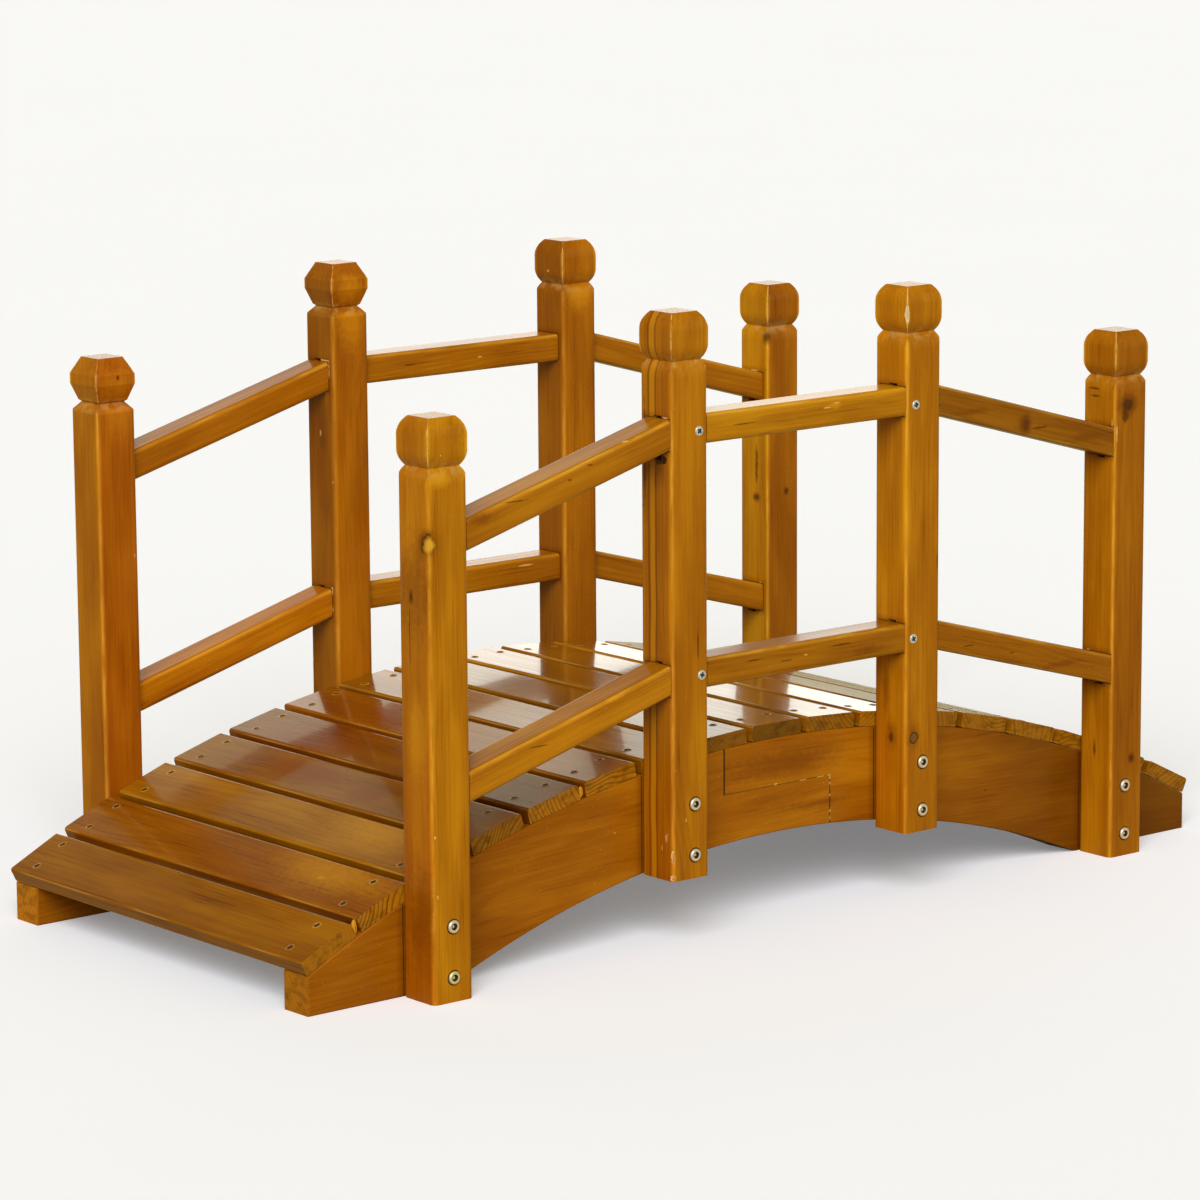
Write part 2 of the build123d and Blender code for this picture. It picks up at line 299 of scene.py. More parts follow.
def paint_mark(t, kind, offset, d, colour, height):
    """One knot, stain, chip or bead; d is 0 at its middle and 1 at its outline."""
    if kind in SOFT_MARKS:
        far, near, strength, tone = SOFT_MARKS[kind]
        colour = t.mixc(t.mul(t.remap(d, far, near), strength), colour, tone)
        if kind == "bead":
            height = t.add(height, t.mul(t.remap(d, 1.0, 0.3), 1.0))
    elif kind == "knot":
        halo = t.remap(d, 2.3, 0.9)
        colour = t.mixc(t.mul(halo, 0.62), colour, tint(DARK, (0.75, 0.65, 0.8)))
        core = t.remap(d, 1.05, 0.62)
        rings = t.remap(t.math("SINE", t.mul(d, 19.0)), -0.2, 0.9, 0.55, 1.0)
        colour = t.mixc(t.mul(core, rings), colour, tint(KNOT, 1.0))
        height = t.add(height, t.mul(core, -0.5))
    elif kind == "burl":
        halo = t.remap(d, 2.1, 1.1)
        x, y, z = t.split(offset)
        left = t.remap(t.add(t.sub(y, x), t.mul(z, 0.6)), -1.0, 4.5)
        colour = t.mixc(t.mul(halo, t.add(t.mul(left, 0.5), 0.12)), colour, tint(DARK, (0.55, 0.45, 0.6)))
        colour = t.mixc(t.mul(t.remap(d, 0.95, 0.45), 0.7), colour, (0.62, 0.33, 0.03, 1.0))
        ridge = t.mul(t.remap(d, 0.85, 1.0), t.remap(d, 1.25, 1.05))
        colour = t.mixc(t.mul(ridge, t.add(t.mul(left, 0.6), 0.2)), colour, (0.05, 0.018, 0.002, 1.0))
        height = t.add(height, t.mul(t.remap(d, 1.0, 0.2), 1.2))
    elif kind == "ring_knot":
        rim = t.mul(t.remap(d, 0.72, 0.95), t.remap(d, 1.22, 1.0))
        colour = t.mixc(t.mul(t.remap(d, 1.1, 0.8), 0.6), colour, (0.12, 0.068, 0.025, 1.0))
        colour = t.mixc(t.mul(rim, 0.85), colour, (0.035, 0.016, 0.006, 1.0))
    elif kind == "chip":
        hole = t.remap(d, 1.0, 0.86)
        rim = t.mul(hole, t.remap(d, 0.55, 0.86))
        colour = t.mixc(hole, colour, tint(BARE, 0.80))
        colour = t.mixc(t.mul(rim, 0.55), colour, (0.88, 0.76, 0.55, 1.0))
        height = t.add(height, t.mul(hole, -1.6))
    elif kind == "flake":
        hole = t.remap(d, 1.0, 0.80)
        x, y, z = t.split(offset)
        lean = t.remap(t.add(t.mul(z, 0.4), t.sub(y, x)), -1.5, 2.0)
        rim = t.mul(t.mul(hole, t.remap(d, 0.25, 0.75)), t.add(t.mul(lean, 0.8), 0.15))
        colour = t.mixc(t.mul(hole, 0.6), colour, (0.48, 0.20, 0.015, 1.0))
        colour = t.mixc(t.mul(rim, 0.95), colour, (0.86, 0.70, 0.42, 1.0))
        height = t.add(height, t.mul(hole, -1.2))
    elif kind == "hole":
        # painted shade: near black where the hole would be, with a dent
        colour = t.mixc(t.remap(d, 1.0, 0.75), colour, (0.012, 0.004, 0.001, 1.0))
        height = t.add(height, t.mul(t.remap(d, 1.0, 0.6), -2.0))
    return colour, height


def wood(name, origin, grain, across, seed, pith, gap=3.8, shade=1.0, hue=(1.0, 1.0, 1.0), contrast=1.0,
         gloss="satin", marks=(), corners=None, cap_z=None, extra=None, end_shade=None, rub_and_highlight=0.60,
         end_lines=0.72):
    """Fir whose growth rings run round a pith line along the grain. Lengths are in millimetres.

    marks: (kind, centre, radii) in bridge coordinates; corners: (half width, half height, rounding) of a bar;
    cap_z: where a post's cap starts; extra: paints more on top, and gives colour and height back."""
    t = Tree(name)
    g_axis, u_axis = Vector(grain).normalized(), Vector(across).normalized()
    p = t.vec("SCALE", t.coords(), scale=1000.0)
    q = t.vec("SUBTRACT", p, tuple(origin))
    g, u, v = (t.vec("DOT_PRODUCT", q, tuple(axis)) for axis in (g_axis, u_axis, g_axis.cross(u_axis)))
    s = seed * 7.31
    local = t.join(t.add(g, 311.0 * s), t.add(u, 53.0 * s), t.add(v, 89.0 * s))

    # growth rings, bent by a slow noise along the grain
    slow = t.field(local, (0.0034, 0.013, 0.013), 1.5, colour=True)
    bend = t.split(t.vec("SCALE", t.vec("SUBTRACT", slow, (0.5, 0.5, 0.5)), scale=46.0))
    ru = t.add(t.sub(u, pith[0]), bend[0])
    rv = t.add(t.sub(v, pith[1]), bend[1])
    r = t.vec("LENGTH", t.join(ru, rv, 0.0))
    ring = t.math("FRACT", t.math("DIVIDE", r, gap))
    late = t.mul(t.remap(ring, 0.25, 0.86), t.remap(ring, 1.0, 0.93))
    uneven = t.noise(t.join(t.mul(r, 0.11), s, 0.0), 1.0, 1.0)
    patchy = t.field(local, (0.006, 0.06, 0.06))
    late = t.mul(late, t.mul(t.remap(uneven, 0.34, 0.66, 0.15, 1.0), t.remap(patchy, 0.3, 0.65, 0.35, 1.0)))

    # fibres, pores, streaks and blotches of stain
    streak = t.field(local, (0.0045, 0.36, 0.36), 3.0, 0.6)
    fine = t.field(local, (0.022, 1.25, 1.25), 2.0, 0.6)
    blotch = t.field(local, (0.0065, 0.032, 0.032), 3.0, 0.55)
    pores = t.remap(t.field(local, (0.075, 1.5, 1.5)), 0.70, 0.80)
    thread = t.field(local, (0.0130, 0.70, 0.70), 2.0, 0.6)
    thin = t.mul(t.remap(thread, 0.57, 0.70), t.remap(blotch, 0.30, 0.6))
    fac = t.mul(late, 0.26 * contrast)
    for value, weight in ((t.sub(streak, 0.5), 0.70 * contrast), (t.sub(thread, 0.5), 0.40 * contrast),
                          (thin, 0.42 * contrast), (t.sub(fine, 0.5), 0.62 * contrast),
                          (t.sub(blotch, 0.5), 2.0), (pores, 0.30)):
        fac = t.add(fac, t.mul(value, weight))
    lit, middle, dim = (tint(tone, tuple(shade * h for h in hue)) for tone in (LIGHT, MIDDLE, DARK))
    colour = t.mixc(t.remap(fac, -0.55, 0.35), lit, middle)
    colour = t.mixc(t.remap(fac, 0.25, 1.05), colour, dim)

    # end grain
    end = t.remap(t.normal_along(g_axis), 0.72, 0.9)
    end_shade = shade if end_shade is None else end_shade
    end_light, end_dark = tint(END_LIGHT, end_shade), tint(END_DARK, end_shade)
    line = t.mul(t.remap(ring, 0.45, 0.88), t.remap(ring, 1.0, 0.94))
    cut = t.mixc(t.mul(line, t.remap(uneven, 0.30, 0.6, 0.45 * end_lines, end_lines)), end_light, end_dark)
    cut = t.mixc(t.remap(fine, 0.35, 0.8, 0.0, 0.25), cut, end_dark)
    mottle = t.field(local, (0.02, 0.09, 0.16), 3.0, 0.6)
    cut = t.mixc(t.remap(mottle, 0.42, 0.70, 0.0, 0.5), cut, end_dark)
    colour = t.mixc(end, colour, cut)
    height = t.add(t.add(t.mul(streak, 0.55), t.mul(late, 0.18)), t.mul(fine, 0.25))

    # arrises lighter where rubbed, with a painted highlight along them, and a painted highlight line on the sharp
    # edges of the caps
    if corners:
        half_u, half_v, rounding = corners
        edge = t.mul(t.remap(t.abs(u), half_u - rounding, half_u - 0.15 * rounding),
                     t.remap(t.abs(v), half_v - rounding, half_v - 0.15 * rounding))
        broken = t.remap(t.field(local, (0.05, 0.4, 0.4), 3.0), 0.35, 0.62)
        rubbed_lit_edge = t.mul(edge, t.add(t.mul(broken, 0.55), 0.45))
        fade = t.remap(t.field(local, (0.012, 0.02, 0.02), 2.0), 0.36, 0.62, 0.35, 1.0)
        colour = t.mixc(t.mul(t.mul(rubbed_lit_edge, fade), rub_and_highlight), colour, (0.85, 0.46, 0.045, 1.0))
    # painted highlight: a pale broken line along the sharp edges of the cap
    if cap_z is not None:
        z = t.split(p)[2]
        on_cap = t.remap(z, cap_z, cap_z + 2.0)
        diff = t.abs(t.sub(t.abs(u), t.abs(v)))
        line = t.mul(t.mul(t.remap(diff, 0.85, 0.2), on_cap),
                     t.remap(z, cap_z + CAP - 0.3, cap_z + CAP - 1.5))
        broken = t.remap(t.field(local, 0.16, 3.0), 0.42, 0.56)
        line = t.mul(line, t.add(t.mul(broken, 0.75), 0.2))
        colour = t.mixc(t.mul(line, 0.8), colour, (0.86, 0.55, 0.17, 1.0))

    # small light specks of dust in the varnish
    dust = t.remap(t.field(local, 0.75, 0.0), 0.835, 0.86)
    colour = t.mixc(t.mul(dust, 0.35), colour, (0.78, 0.50, 0.20, 1.0))

    rag = t.field(local, 0.22, 2.0)
    for kind, centre, radii in marks:
        offset = t.vec("SUBTRACT", p, centre)
        outline = t.field(local, 0.55, 2.0) if kind == "flake" else rag
        d = t.vec("LENGTH", t.vec("DIVIDE", offset, radii))
        d = t.add(d, t.mul(t.sub(outline, 0.5), RAGGED[kind]))
        colour, height = paint_mark(t, kind, offset, d, colour, height)
    if extra:
        colour, height = extra(t, p, colour, height)

    if gloss == "deck":
        wave = t.field(local, (0.010, 0.060, 0.060), 2.0)
        height = t.add(t.mul(height, 0.55), t.mul(wave, 1.6))
        rough = t.add(t.remap(streak, 0.3, 0.7, 0.17, 0.27), t.mul(end, 0.25))
        return t.finish(colour, rough, height, ior=1.22, coat=0.75, coat_rough=0.07, coat_ior=1.30, bump=0.35,
                        depth=0.0005)
    rough = t.add(t.remap(streak, 0.3, 0.7, 0.30, 0.44), t.mul(end, 0.12))
    return t.finish(colour, rough, height, ior=1.16, coat=0.55, coat_rough=0.12, coat_ior=1.32, bump=0.35,
                    depth=0.0004)


def dress(node, material):
    """Gives a timber its own finish."""
    for slot in NODES[node].material_slots:
        slot.material = material


def seed_for(name):
    return random.Random("fir " + name).uniform(0.0, 9.0)


def draw_pith(rnd, u_range, v_range):
    """A place for the pith on any side of the bar."""
    return (rnd.choice((-1, 1)) * rnd.uniform(*u_range), rnd.choice((-1, 1)) * rnd.uniform(*v_range))


def joint(t, p, colour, height, face, centre, half, glue, seed):
    """Painted shade on a face across X close round the end of a rail, with a dark crack and a broken bead of
    dried glue.
    """
    x, y, z = t.split(p)
    on = t.remap(t.abs(t.sub(x, face)), 1.2, 0.4)
    dy = t.sub(t.abs(t.sub(y, centre[0])), half[0])
    dz = t.sub(t.abs(t.sub(z, centre[1])), half[1])
    d = t.math("MAXIMUM", dy, dz)
    # painted shade close round the rail
    soft = t.mul(t.mul(t.remap(d, 7.0, 0.0), on), 0.42)
    colour = t.mixc(soft, colour, tint(DARK, (0.85, 0.75, 0.8)))
    crack = t.mul(t.remap(t.abs(t.sub(d, 0.2)), 0.8, 0.25), on)
    colour = t.mixc(t.mul(crack, 0.75), colour, (0.035, 0.012, 0.002, 1.0))
    gaps = t.noise(t.vec("ADD", t.vec("SCALE", p, scale=0.085), (seed, seed, seed)), 1.0, 3.0)
    here = t.remap(gaps, 0.50 + 0.14 * (1 - glue), 0.60 + 0.14 * (1 - glue))
    bead = t.mul(t.mul(t.remap(t.abs(t.sub(d, 1.1)), 0.9, 0.35), on), here)
    colour = t.mixc(t.mul(bead, 0.75), colour, (0.78, 0.53, 0.22, 1.0))
    return colour, t.add(height, t.sub(t.mul(bead, 0.8), t.mul(crack, 0.8)))


# Posts

POST_MARKS = {
    "front_left_end": [
        ("stain", (-401.5, -229.0, 335.0), (3.0, 28.0, 54.0)),
        ("pale", (-401.5, -232.0, 215.0), (3.0, 17.0, 50.0)),
        ("stain", (-401.5, -236.0, 70.0), (3.0, 30.0, 58.0)),
        ("burl", (-401.0, -249.0, 373.0), (7.0, 7.0, 7.5)),
        ("knot", (-401.5, -226.7, 329.0), (2.0, 1.7, 3.4)),
        ("streak", (-401.5, -224.3, 296.0), (2.5, 0.9, 36.0)),
        ("pale", (-390.0, -250.0, 424.0), (16.0, 6.0, 9.0)),
        ("bead", (-361.8, -250.0, 180.0), (1.6, 1.6, 4.5)),
        ("bead", (-398.5, -250.0, 137.4), (0.9, 1.0, 1.6)),
        ("bead", (-396.5, -250.0, 88.7), (0.9, 1.0, 2.2)),
        ("bead", (-388.0, -250.0, 443.0), (0.8, 1.0, 0.8)),
        ("stain", (-340.0, -250.0, 500.0), (70.0, 6.0, 56.0)),
    ],
    "front_left_mid": [
        ("flake", (-151.0, -242.6, 97.0), (1.4, 2.0, 3.6)),
        ("flake", (-149.8, -248.8, 81.0), (1.9, 1.9, 5.5)),
        ("flake", (-149.4, -248.8, 64.0), (2.5, 2.5, 2.6)),
        ("bead", (-151.0, -236.0, 88.0), (1.0, 0.8, 2.6)),
        ("hole", (-151.0, -238.5, 413.5), (3.5, 5.6, 4.6)),
        ("hole", (-151.0, -233.0, 411.0), (3.0, 3.0, 3.0)),
        ("stain", (-151.0, -233.0, 404.0), (3.0, 12.0, 20.0)),
        ("streak", (-151.0, -229.5, 396.0), (2.0, 1.6, 12.0)),
        ("stain", (-151.0, -216.7, 402.0), (3.0, 5.0, 14.0)),
        ("bead", (-136.5, -250.0, 111.6), (0.7, 1.0, 2.0)),
        ("streak", (-123.0, -250.0, 258.0), (1.3, 2.0, 16.0)),
        ("streak", (-151.0, -216.0, 420.0), (2.0, 2.0, 60.0)),
    ],
    "front_right_mid": [
        ("chip", (111.2, -250.0, 510.5), (2.6, 3.0, 7.5)),
        ("stain", (111.0, -232.5, 146.0), (3.0, 9.0, 19.0)),
        ("streak", (111.0, -231.9, 143.6), (2.0, 3.4, 7.0)),
        ("stain", (120.5, -250.0, 146.0), (10.0, 3.0, 17.0)),
        ("ring_knot", (120.8, -250.0, 144.4), (4.6, 2.0, 4.8)),
        ("streak", (103.0, -250.0, 113.0), (0.9, 2.0, 24.0)),
        ("streak", (147.5, -250.0, 296.0), (1.6, 2.0, 9.0)),
        ("stain", (111.0, -225.0, 184.0), (3.0, 5.0, 30.0)),
    ],
    "front_right_end": [
        ("streak", (361.5, -223.5, 421.0), (2.0, 9.0, 1.5)),
        ("streak", (361.5, -225.5, 414.5), (2.0, 8.0, 1.4)),
        ("knot", (377.5, -250.0, 407.4), (7.0, 3.0, 6.0)),
        ("streak", (374.0, -250.0, 398.0), (5.0, 2.0, 9.0)),
        ("streak", (361.5, -229.0, 97.0), (2.0, 2.2, 11.0)),
        ("knot", (387.0, -250.0, 88.0), (2.7, 2.0, 2.9)),
        ("bead", (361.5, -246.0, 388.0), (1.0, 1.0, 9.0)),
        ("bead", (364.0, -250.0, 384.0), (1.0, 1.0, 11.0)),
    ],
    "back_left_end": [
        ("pale", (-379.0, 210.0, 434.0), (22.0, 5.0, 44.0)),
        ("knot", (-379.0, 210.0, 455.5), (1.0, 1.5, 1.6)),
        ("bead", (-366.0, 210.0, 300.0), (0.8, 1.0, 2.0)),
    ],
    "back_left_mid": [
        ("pale", (-131.0, 210.0, 494.0), (22.0, 5.0, 50.0)),
        ("bead", (-151.0, 229.8, 382.3), (1.0, 1.4, 3.4)),
        ("bead", (-151.0, 213.0, 340.0), (1.0, 0.8, 1.4)),
    ],
    "back_right_mid": [
        ("bead", (111.0, 230.6, 505.4), (1.0, 2.0, 1.4)),
        ("pale", (131.0, 210.0, 484.0), (18.0, 5.0, 22.0)),
    ],
    "back_right_end": [
        ("knot", (361.5, 212.0, 424.0), (3.2, 3.6, 4.6)),
        ("knot", (361.5, 226.0, 268.4), (2.0, 3.4, 2.8)),
        ("streak", (361.5, 226.0, 300.0), (2.0, 3.0, 26.0)),
        ("knot", (385.0, 210.0, 273.5), (2.0, 2.0, 2.4)),
    ],
}
# Tone of each post, further tones of its faces across X and across Y, and how strong the stain at its foot
# and the glue round its rails are
POST_TONES = {
    "front_left_end": ((1.06, 1.04, 1.0), (1.03, 1.02, 1.0), (1.03, 1.14, 1.0), 0.9, 0.15),
    "front_left_mid": ((0.92, 0.92, 0.9), (1.02, 0.95, 1.0), (1.04, 1.05, 1.0), 0.9, 0.35),
    "front_right_mid": ((1.03, 1.04, 1.0), (1.16, 1.20, 1.0), (0.95, 0.96, 1.0), 0.9, 0.15),
    "front_right_end": ((0.95, 0.93, 0.8), (1.12, 1.12, 1.0), (0.84, 0.80, 1.0), 0.1, 0.75),
    "back_left_end": ((0.94, 0.88, 0.7), (1.00, 1.00, 1.0), (0.92, 0.73, 1.0), 0.1, 0.15),
    "back_left_mid": ((0.82, 0.78, 0.6), (0.84, 0.77, 1.0), (1.09, 0.97, 1.0), 0.2, 1.0),
    "back_right_mid": ((0.84, 0.80, 0.6), (0.87, 0.80, 1.0), (1.06, 1.00, 1.0), 0.1, 0.15),
    "back_right_end": ((0.97, 0.97, 0.8), (1.22, 1.38, 1.0), (0.84, 0.75, 1.0), 0.0, 0.4),
}


def post_tones(t, p, colour, name, top):
    """Tones of the faces, a paler band at the neck, and redder stain that ran to the foot."""
    z = t.split(p)[2]
    side = t.mul(t.normal_along(ALONG_X), 0.8)
    seed = seed_for(name) * 5.0
    ragged = t.noise(t.vec("ADD", t.vec("MULTIPLY", p, (0.03, 0.03, 0.006)), (seed, seed, seed)), 1.0, 2.0)
    low = t.remap(t.add(z, t.mul(t.sub(ragged, 0.5), 320.0)), 290.0, 60.0)
    _, across, along, foot, _ = POST_TONES[name]
    tone = t.mixc(t.remap(t.normal_along(ALONG_X), 0.45, 0.8), (*along, 1.0), (*across, 1.0))
    colour = t.mixc(1.0, colour, tone, "MULTIPLY")
    # paler band round the neck
    pale_neck_band = t.mul(t.remap(t.abs(t.sub(z, top - CAP - 1.0)), 8.0, 1.0),
                  t.remap(t.field(p, 0.11, 3.0), 0.42, 0.62))
    colour = t.mixc(t.mul(pale_neck_band, 0.30), colour, (0.62, 0.41, 0.14, 1.0))
    return t.mixc(t.mul(t.mul(low, side), foot), colour, (0.86, 0.62, 0.4, 1.0), "MULTIPLY")


def post_extra(key, top):
    """What happened to one post: rails let into it, with painted shade round them, stain at the foot and, on one,
    a split lamination.
    """
    side, _, place = key.partition("_")
    row = -RAIL_ROW if side == "front" else RAIL_ROW
    sign = -1 if place.startswith("left") else 1
    high = RAIL_H / 2 * sqrt(1 + SLOPE * SLOPE)
    glue = POST_TONES[key][-1]

    def apply(t, p, colour, height):
        colour = post_tones(t, p, colour, key, top)
        if key == "front_left_mid":
            colour, height = groove(t, p, colour, height)
        for drop in (0.0, RAIL_DROP):
            if place.endswith("mid"):
                outer, level = sign * (MID_X + POST / 2), SLOPE_LOW + (END_X - MID_X - POST / 2) * SLOPE
                colour, height = joint(t, p, colour, height, sign * (MID_X - POST / 2),
                                       (row, LEVEL_TOP - drop - RAIL_H / 2), (RAIL_D / 2, RAIL_H / 2), glue,
                                       drop + 3.0)
            else:
                outer, level = sign * (END_X - POST / 2), SLOPE_LOW + POST / 2 * SLOPE
            colour, height = joint(t, p, colour, height, outer, (row, level - drop - high),
                                   (RAIL_D / 2, high), glue, drop)
        return colour, height

    return apply


def groove(t, p, colour, height):
    """Two laminations of another colour down the left face of one post, with a step between them."""
    x, y, _ = t.split(p)
    face = t.mul(t.remap(t.normal_along(ALONG_X), 0.35, 0.6), t.remap(x, -140.0, -144.0))
    y = t.add(y, t.mul(t.sub(t.field(p, (0.0, 0.0, 0.012), 2.0), 0.5), 5.0))

    def band(a, b, soft):
        return t.mul(t.mul(t.remap(y, a, a + soft), t.remap(y, b, b - soft)), face)

    for low, high, soft, strength, tone in ((-229.5, -222.5, 1.4, 0.62, (0.54, 0.225, 0.004, 1.0)),
                                            (-222.8, -219.6, 1.0, 0.75, (0.17, 0.052, 0.001, 1.0)),
                                            (-231.6, -229.2, 0.8, 0.65, (0.17, 0.052, 0.001, 1.0)),
                                            (-238.6, -237.0, 0.7, 0.35, (0.20, 0.062, 0.001, 1.0)),
                                            (-216.0, -213.6, 0.9, 0.40, (0.50, 0.22, 0.006, 1.0))):
        colour = t.mixc(t.mul(band(low, high, soft), strength), colour, tone)
    cut = t.add(band(-230.2, -222.0, 1.2), t.mul(band(-239.0, -236.6, 0.6), 0.5))
    return colour, t.add(height, t.mul(cut, -2.2))


def dress_posts():
    places = {"left_end": (-END_X, END_TOP), "left_mid": (-MID_X, MID_TOP),
              "right_mid": (MID_X, MID_TOP), "right_end": (END_X, END_TOP)}
    for side, row in (("front", -POST_ROW), ("back", POST_ROW)):
        for place, (x, top) in places.items():
            key = f"{side}_{place}"
            rnd = random.Random("post " + key)
            pith = draw_pith(rnd, (26, 70), (18, 60))
            dress(f"{key}_post", wood(
                f"{key}_post_wood", (x, row, 0.0), UP, ALONG_X, seed_for(key), pith, gap=rnd.uniform(3.2, 4.6),
                hue=POST_TONES[key][0], contrast=0.8, marks=POST_MARKS[key],
                corners=(POST / 2, POST / 2, 3.7), cap_z=top - CAP, extra=post_extra(key, top)))


# Rails

RAIL_TONE = {
    "front_left_top": (0.88, 0.87, 1.0), "front_left_lower": (0.96, 0.98, 1.0),
    "front_middle_top": (1.05, 1.18, 1.1), "front_middle_lower": (0.76, 0.75, 0.8),
    "front_right_top": (0.60, 0.57, 0.8), "front_right_lower": (0.76, 0.74, 0.7),
    "back_left_top": (0.88, 0.77, 0.6), "back_left_lower": (1.08, 0.95, 0.7),
    "back_middle_top": (0.98, 0.95, 0.6), "back_middle_lower": (0.95, 0.93, 0.7),
    "back_right_top": (0.92, 0.88, 0.7), "back_right_lower": (0.92, 0.88, 0.7),
}
RAIL_MARKS = {
    "front_left_top": [
        ("streak", (-235.4, -248.3, 419.1), (4.0, 2.0, 0.9)),
        ("streak", (-256.3, -248.3, 409.2), (3.0, 2.0, 1.4)),
        ("streak", (-312.0, -248.3, 398.0), (16.0, 2.0, 0.8)),
        ("bead", (-198.0, -246.0, 434.0), (7.0, 2.0, 0.7)),
        ("stain", (-350.0, -248.0, 388.0), (26.0, 4.0, 7.0)),
    ],
    "front_left_lower": [
        ("streak", (-290.0, -248.3, 196.0), (14.0, 2.0, 0.8)),
        ("pale", (-215.0, -248.3, 225.0), (16.0, 3.0, 4.0)),
    ],
    "front_middle_top": [
        ("pale", (30.3, -248.3, 441.5), (11.0, 3.0, 5.0)),
        ("bead", (22.0, -248.3, 440.0), (6.0, 2.0, 0.8)),
        ("bead", (33.0, -248.3, 443.0), (4.0, 2.0, 0.7)),
        ("streak", (-70.0, -248.3, 436.0), (16.0, 2.0, 0.9)),
    ],
    "front_middle_lower": [
        ("streak", (-60.0, -248.3, 236.0), (13.0, 2.0, 1.0)),
        ("streak", (-24.0, -248.3, 231.0), (9.0, 2.0, 0.8)),
        ("streak", (38.0, -248.3, 236.5), (16.0, 2.0, 1.1)),
        ("bead", (-2.0, -248.3, 233.0), (2.0, 2.0, 0.7)),
        ("stain", (70.0, -248.0, 228.0), (30.0, 4.0, 5.0)),
    ],
    "front_right_top": [
        ("knot", (253.6, -248.3, 401.9), (4.0, 2.0, 6.0)),
        ("stain", (251.0, -248.3, 403.0), (13.0, 4.0, 11.0)),
        ("stain", (190.0, -248.3, 420.0), (34.0, 3.0, 4.0)),
        ("streak", (270.0, -248.3, 398.0), (12.0, 2.0, 1.6)),
        ("stain", (326.0, -248.3, 384.0), (24.0, 3.0, 5.0)),
    ],
    "front_right_lower": [
        ("streak", (186.0, -248.3, 216.0), (9.0, 2.0, 0.8)),
        ("streak", (239.0, -248.3, 203.0), (5.0, 2.0, 0.9)),
        ("stain", (300.0, -248.3, 185.0), (36.0, 3.0, 4.0)),
    ],
    "back_middle_top": [
        ("streak", (-60.0, 216.9, 436.0), (9.0, 2.0, 0.9)),
        ("bead", (20.0, 216.9, 436.0), (3.0, 2.0, 0.7)),
    ],
    "back_middle_lower": [
        ("bead", (72.0, 216.9, 238.2), (10.0, 2.0, 1.0)),
        ("streak", (-30.0, 216.9, 236.0), (14.0, 2.0, 1.2)),
    ],
}


def dress_rails():
    for side, row in (("front", -RAIL_ROW), ("back", RAIL_ROW)):
        for bay, slope, x in (("left", SLOPE, -BAY_X), ("middle", 0.0, 0.0), ("right", -SLOPE, BAY_X)):
            for level, drop in (("top", 0.0), ("lower", RAIL_DROP)):
                key = f"{side}_{bay}_{level}"
                rnd = random.Random(f"rail {key}_rail")
                top = LEVEL_TOP if bay == "middle" else SLOPE_LOW + (END_X - BAY_X) * SLOPE
                z = top - drop - RAIL_H / 2 * sqrt(1 + slope * slope)
                pith = draw_pith(rnd, (14, 60), (14, 60))
                dress(f"{key}_rail", wood(
                    f"{key}_rail_wood", (x, row, z), (1, 0, slope), ALONG_Y, seed_for(f"{key}_rail"), pith,
                    gap=rnd.uniform(3.0, 4.4), hue=RAIL_TONE[key], corners=(RAIL_D / 2, RAIL_H / 2, 3.6),
                    marks=RAIL_MARKS.get(key, ())))


# Side beams and their lap joint

BEAM_MARKS = [
    ("bead", (-1.7, -210.0, 115.4), (2.0, 1.5, 0.9)),
    ("streak", (244.8, -210.0, 73.2), (3.0, 2.0, 0.8)),
    ("bead", (-180.0, -210.0, 100.4), (1.0, 1.5, 1.0)),
    ("stain", (8.0, -210.0, 133.0), (86.0, 3.0, 17.0)),
    ("stain", (40.0, -210.0, 92.0), (50.0, 3.0, 5.0)),
]


